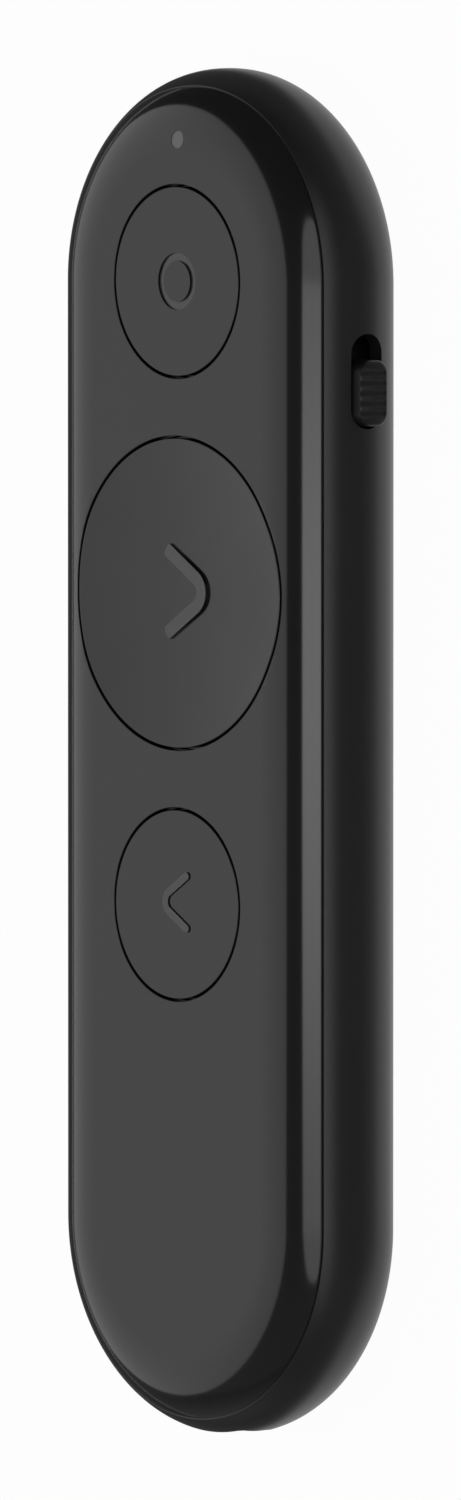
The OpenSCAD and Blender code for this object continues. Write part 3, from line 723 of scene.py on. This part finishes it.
def addMath(tree, operation, first, second):
    step = tree.nodes.new("ShaderNodeMath")
    step.operation = operation
    for value, socket in zip((first, second), step.inputs):
        if isinstance(value, (int, float)):
            socket.default_value = value
        else:
            tree.links.new(value, socket)
    return step.outputs["Value"]


def addRange(tree, value, reach, result, kind="LINEAR"):
    change = tree.nodes.new("ShaderNodeMapRange")
    change.interpolation_type = kind
    change.inputs["From Min"].default_value, change.inputs["From Max"].default_value = reach
    change.inputs["To Min"].default_value, change.inputs["To Max"].default_value = result
    tree.links.new(value, change.inputs["Value"])
    return change.outputs["Result"]


def addMix(tree, share, first, second, out):  # first where the share is 0, second where it is 1
    mix = tree.nodes.new("ShaderNodeMixShader")
    tree.links.new(share, mix.inputs["Fac"])
    tree.links.new(first.outputs[0], mix.inputs[1])
    tree.links.new(second.outputs[0], mix.inputs[2])
    tree.links.new(mix.outputs["Shader"], out.inputs["Surface"])


def grey(level):
    return level, level, level, 1


def lampFinish(name, strength, fade=0, hot=0):
    # glows on the side that faces the object: fades towards its rim, with a hotter band across it
    finish, tree, out = bareFinish(name + "_glow")
    place = tree.nodes.new("ShaderNodeTexCoord").outputs["Object"]
    parts = tree.nodes.new("ShaderNodeSeparateXYZ")
    tree.links.new(place, parts.inputs["Vector"])
    fromBand = addMath(tree, "ABSOLUTE", addMath(tree, "SUBTRACT", parts.outputs["Y"], studio["hotPlace"]), 0)
    band = addRange(tree, fromBand, (studio["hotReach"], 0), (0, hot), "SMOOTHSTEP")
    fromMiddle = tree.nodes.new("ShaderNodeVectorMath")
    fromMiddle.operation = "LENGTH"
    tree.links.new(place, fromMiddle.inputs[0])
    rest = addRange(tree, fromMiddle.outputs["Value"], (0, studio["fadeReach"]),
                    (strength, strength * (1 - fade)), "SMOOTHSTEP")
    glow = tree.nodes.new("ShaderNodeEmission")
    tree.links.new(addMath(tree, "ADD", band, rest), glow.inputs["Strength"])
    dark = tree.nodes.new("ShaderNodeBsdfDiffuse")
    dark.inputs["Color"].default_value = grey(studio["lampBack"])
    side = tree.nodes.new("ShaderNodeNewGeometry")
    addMix(tree, side.outputs["Backfacing"], dark, glow, out)
    return finish


def clothFinish(name, axis, fadeFrom, glow):  # dark cloth whose faint glow changes from one side to the other
    finish, tree, shader = newFinish(name)
    shader.inputs["Base Color"].default_value = grey(studio["cloth"])
    shader.inputs["Roughness"].default_value = 0.9
    shader.inputs["Specular IOR Level"].default_value = 0
    shader.inputs["Emission Color"].default_value = grey(1)
    parts = tree.nodes.new("ShaderNodeSeparateXYZ")
    tree.links.new(tree.nodes.new("ShaderNodeTexCoord").outputs["Object"], parts.inputs["Vector"])
    tree.links.new(addRange(tree, parts.outputs[axis], fadeFrom, glow), shader.inputs["Emission Strength"])
    return finish


def hideFrom(piece, *rays):
    for ray in rays:
        setattr(piece, "visible_" + ray, False)


def hangLamp(piece, degrees, finish):
    angle = math.radians(degrees)
    piece.rotation_euler = (0, angle, 0)
    piece.location = (studio["distance"] * math.sin(angle), 0, studio["distance"] * math.cos(angle))
    piece.data.materials.append(finish)
    hideFrom(piece, "camera")


def roundLamp(name, shape):  # a round softbox, drawn out towards the floor and cut where it ends
    clearSelection()
    middle = (*shape["centre"], 0)
    bpy.ops.mesh.primitive_circle_add(vertices=128, radius=shape["radius"], fill_type="NGON", location=middle)
    piece = bpy.context.object
    piece.name = name
    settle(piece)
    openMesh(piece)
    selectWhere(piece, lambda place, part: place.x < middle[0] - 1e-6)
    bpy.ops.transform.resize(value=(shape["stretch"], 1, 1), center_override=middle)
    for limit, way in ((shape["cutLow"], -1), (shape["cutHigh"], 1)):
        bpy.ops.mesh.select_all(action="SELECT")
        bpy.ops.mesh.bisect(plane_co=(limit, 0, 0), plane_no=(way, 0, 0), clear_outer=True)
    closeMesh()
    hangLamp(piece, shape["angle"], lampFinish(name, shape["strength"], shape["fade"], shape["hot"]))


def flatPanel(name, sizeX, sizeY):
    clearSelection()
    bpy.ops.mesh.primitive_plane_add(size=1, location=(0, 0, 0))
    piece = bpy.context.object
    piece.name = name
    piece.scale = (sizeX, sizeY, 1)
    settle(piece)
    return piece


def makeFloor():  # white to the camera and in reflections, with a part of its shadow left
    shape = studio["floor"]
    floor = flatPanel("floor", shape["size"], shape["size"])
    floor.location = (0, 0, -shape["drop"])
    settle(floor)
    finish, tree, out = bareFinish("white_floor")
    matte = tree.nodes.new("ShaderNodeBsdfDiffuse")
    matte.inputs["Color"].default_value = grey(shape["colour"])
    white = tree.nodes.new("ShaderNodeEmission")
    white.inputs["Strength"].default_value = 1
    ray = tree.nodes.new("ShaderNodeLightPath").outputs
    seen = addMath(tree, "MAXIMUM", ray["Is Camera Ray"], ray["Is Glossy Ray"])
    seen = addMath(tree, "MAXIMUM", seen, ray["Is Transmission Ray"])
    addMix(tree, addMath(tree, "MULTIPLY", seen, shape["white"]), matte, white, out)
    floor.data.materials.append(finish)


def makeCard():  # dark card round the object, seen only by reflections
    card = studio["card"]
    inner = body["halfWidth"] + card["gap"]
    length = body["spine"] + 2 * (card["endGap"] - card["gap"])
    profile = [(inner, card["level"]), (card["reach"], card["level"])]
    piece = sweepStadium("dark_card", profile, length, endSteps=48, sideSteps=1)
    openMesh(piece)
    bpy.ops.transform.translate(value=(card["shift"] * mm, 0, 0))
    closeMesh()
    for v in piece.data.vertices:  # the ends open wider on the switch side
        if v.co.x > 0 and body["spine"] / 2 * mm < abs(v.co.y) < card["flareEnd"] * mm:
            v.co.y += math.copysign(card["flare"] * v.co.x, v.co.y)
    piece.data.materials.append(clothFinish("card_finish", "X", card["fadeFrom"], card["glow"]))
    hideFrom(piece, "camera", "diffuse", "shadow", "transmission")


def makeDrape():  # dark cloth round the studio, hidden from the camera
    shape = studio["drape"]
    clearSelection()
    bpy.ops.mesh.primitive_uv_sphere_add(segments=48, ring_count=24, radius=shape["radius"],
                                         location=(0, 0, 0))
    drape = bpy.context.object
    drape.name = "dark_drape"
    openMesh(drape)
    bpy.ops.mesh.bisect(plane_co=(0, 0, shape["foot"]), plane_no=(0, 0, 1), clear_inner=True)
    closeMesh()
    drape.data.materials.append(clothFinish("drape_finish", "Y", shape["fadeFrom"], shape["glow"]))
    hideFrom(drape, "camera", "shadow")


def makeLamps():
    roundLamp("left_softbox", studio["left"])
    roundLamp("right_softbox", studio["right"])
    rim = studio["rim"]
    strip = flatPanel("rim_strip", rim["width"], rim["length"])
    hangLamp(strip, rim["angle"], lampFinish("rim_strip", rim["strength"]))
    fill = studio["fill"]
    piece = flatPanel("fill_card", fill["width"], fill["height"])
    for v in piece.data.vertices:  # stands on the floor, and its glow fades from there
        v.co.y -= fill["height"] / 2
    piece.data.materials.append(lampFinish("fill_card", fill["strength"], fill["fade"]))
    turn = math.radians(fill["turn"])
    piece.rotation_euler = (math.radians(-90), 0, math.pi + turn)
    piece.location = (fill["distance"] * math.sin(turn), -fill["distance"] * math.cos(turn), 0)
    hideFrom(piece, "camera")


def makeWorld():
    world = bpy.data.worlds.new("studio_air")
    bpy.context.scene.world = world
    world.use_nodes = True
    air = world.node_tree.nodes["Background"]
    air.inputs["Color"].default_value = grey(1)
    air.inputs["Strength"].default_value = 1


makeFloor()
makeCard()
makeDrape()
makeWorld()
makeLamps()
print("studio lit")


camera = {
    "azimuth": 49.51,    # from the face towards the switch side
    "rise": 2.77,        # towards the pointer end
    "aim": (3.103, 0.36, 9.46),   # shown in the middle of the picture
    "lens": 500, "sensor": 36,
    "frameHeight": 131.36,        # how much the picture shows from top to bottom
    "clip": (0.1, 20),            # in metres
}


def makeCamera():
    a, e = math.radians(camera["azimuth"]), math.radians(camera["rise"])
    out = Vector((math.sin(a) * math.cos(e), math.sin(e), math.cos(a) * math.cos(e)))
    right = Vector((math.cos(a), 0, -math.sin(a)))
    data = bpy.data.cameras.new("studio_camera")
    data.lens, data.sensor_width = camera["lens"], camera["sensor"]
    data.clip_start, data.clip_end = camera["clip"]
    eye = bpy.data.objects.new("studio_camera", data)
    bpy.context.scene.collection.objects.link(eye)
    eye.rotation_mode = "QUATERNION"
    turn = eye.rotation_quaternion.to_matrix()
    turn.col[0], turn.col[1], turn.col[2] = right, out.cross(right), out
    eye.rotation_quaternion = turn.to_quaternion()
    away = camera["frameHeight"] * mm * camera["lens"] / camera["sensor"]
    eye.location = Vector([c * mm for c in camera["aim"]]) + out * away
    bpy.context.scene.camera = eye
    bpy.context.scene.view_settings.view_transform = "Standard"


makeCamera()

clearSelection()
